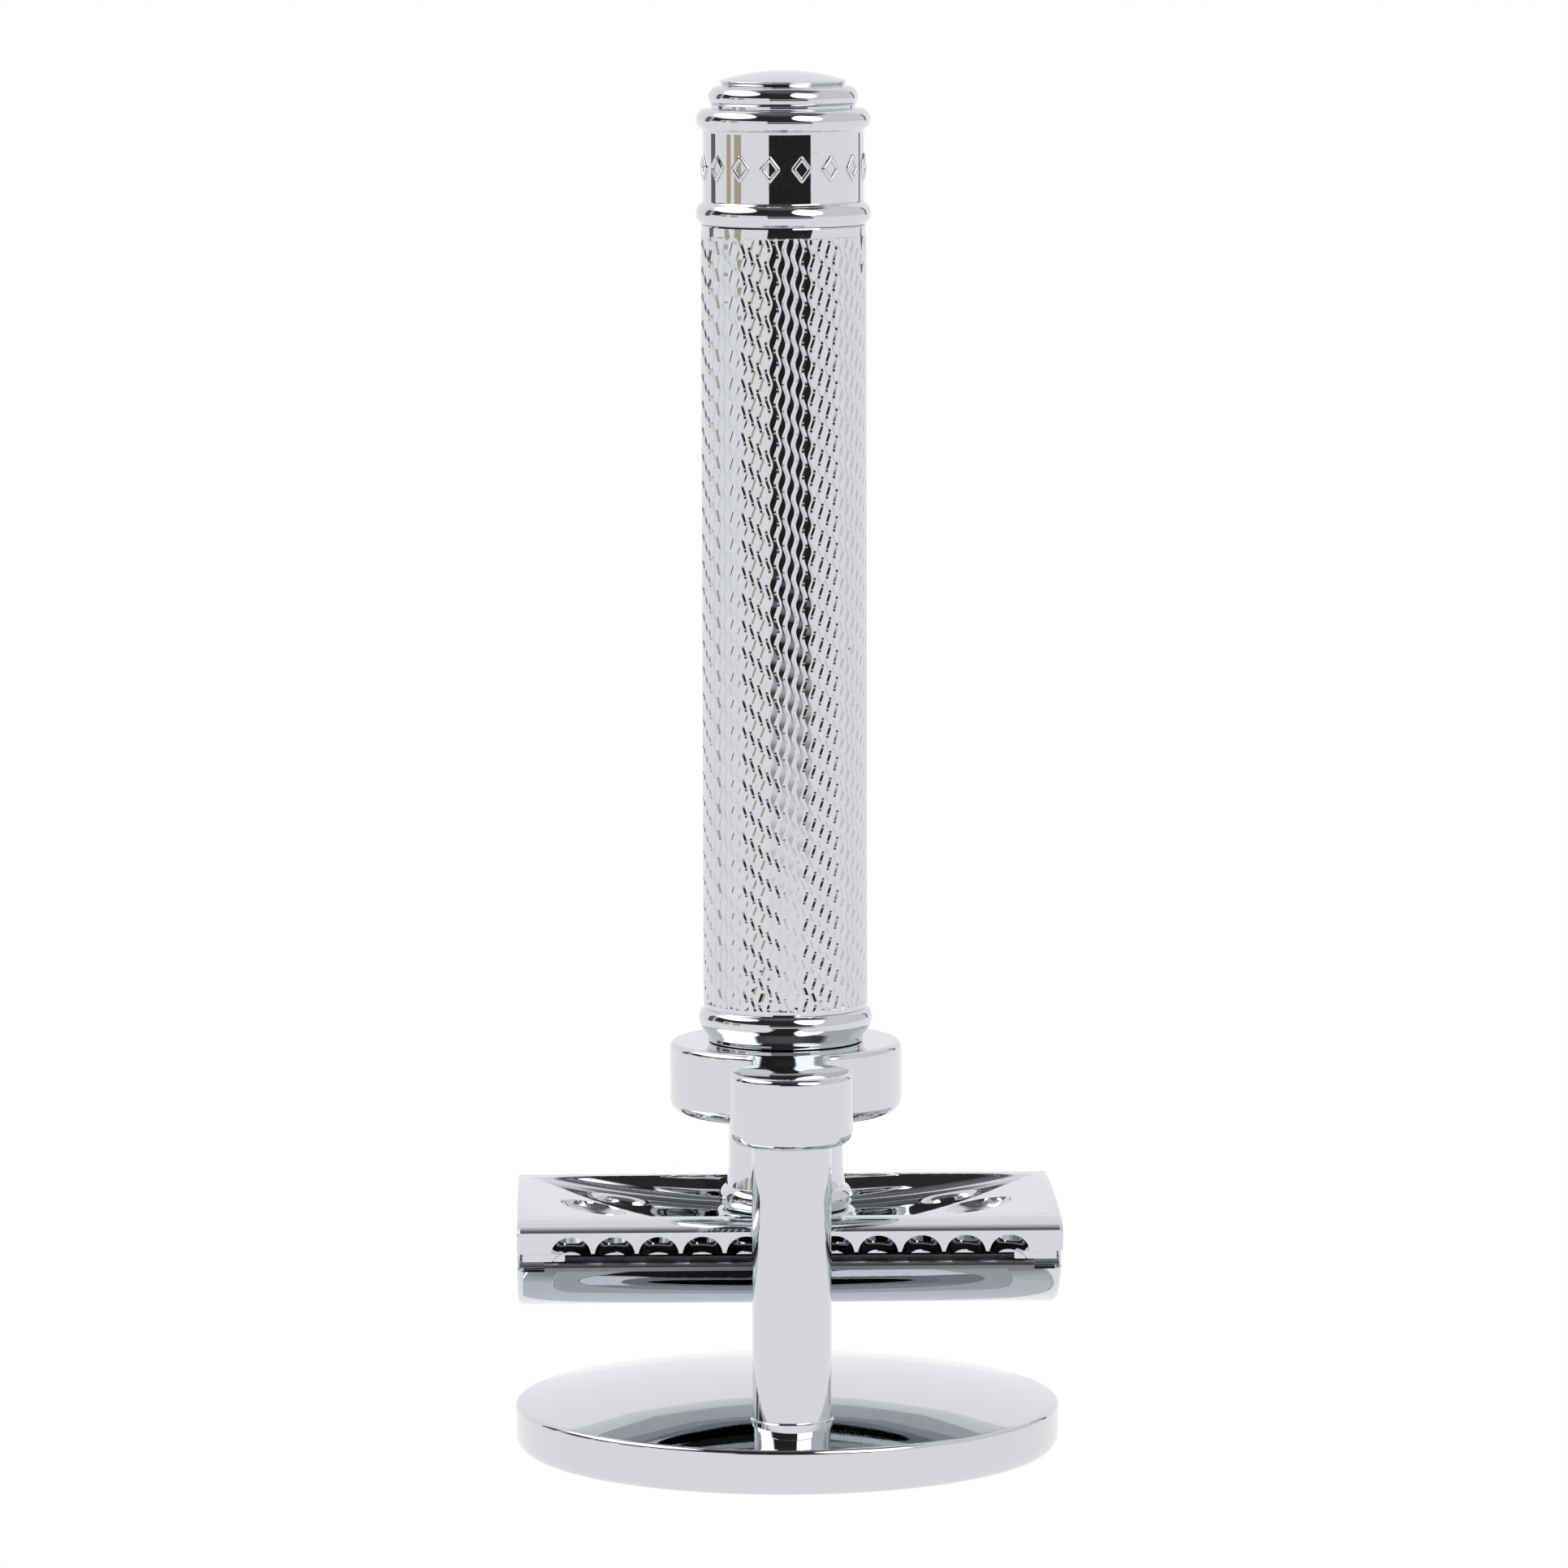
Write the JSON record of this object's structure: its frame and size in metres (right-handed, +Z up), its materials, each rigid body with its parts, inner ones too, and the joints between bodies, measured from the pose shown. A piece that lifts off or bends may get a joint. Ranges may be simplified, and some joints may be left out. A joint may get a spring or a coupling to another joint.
{
  "type": "razor stand",
  "caption": "Round weighted stand with a post and a slotted fork, holding a double-edge safety razor head down; the razor slides out of the fork and its handle unscrews to open the head.",
  "frame": {"origin": "centre of the base's underside, on the table", "axes": "+Z up along the razor's handle, the post on the -Y side of the razor, the razor's head long along X, and the fork's slot open towards +Y"},
  "size_m": [0.0416, 0.0416, 0.1051],
  "materials": {
    "polished_chrome": "mirror-polished chrome plate",
    "patterned_chrome": "chrome plate over a rolled grip pattern",
    "plated_brass": "turned brass",
    "zinc_steel": "zinc-plated steel",
    "blade_steel": "ground stainless steel strip",
    "black_rubber": "matt black rubber"
  },
  "bodies": {
    "stand": {"base": "polished_chrome", "base_pad": "black_rubber", "base_screw": "zinc_steel", "post": "polished_chrome", "fork_stud": "zinc_steel", "fork": "polished_chrome"},
    "guard": {"guard": "polished_chrome"},
    "cap": {"cap": "polished_chrome", "cap_stud": "plated_brass", "locating_pins": "polished_chrome"},
    "blade": {"blade": "blade_steel"},
    "handle": {"neck": "polished_chrome", "thread_bush": "plated_brass", "handle_tube": "patterned_chrome", "tie_rod": "zinc_steel", "end_cap": "polished_chrome"}
  },
  "joints": [
    {"name": "razor_slide", "type": "slide", "parent": "stand", "child": "guard", "axis": [0, 1, 0], "range_m": [0, 0.055]},
    {"name": "handle_turn", "type": "hinge", "parent": "guard", "child": "handle", "pos_m": [0, 0.002, 0.0184], "axis": [0, 0, 1], "range_deg": [0, 1800]},
    {"name": "clamp_open", "type": "slide", "parent": "guard", "child": "cap", "axis": [0, 0, -1], "range_m": [0, 0.0041]},
    {"name": "blade_lift", "type": "slide", "parent": "guard", "child": "blade", "axis": [0, 0, -1], "range_m": [0, 0.0021]}
  ],
  "couplings": [
    {"joint": "clamp_open", "follows": "handle_turn", "m_per_rad": 0.00012732},
    {"joint": "blade_lift", "follows": "handle_turn", "m_per_rad": 0.00006366}
  ]
}
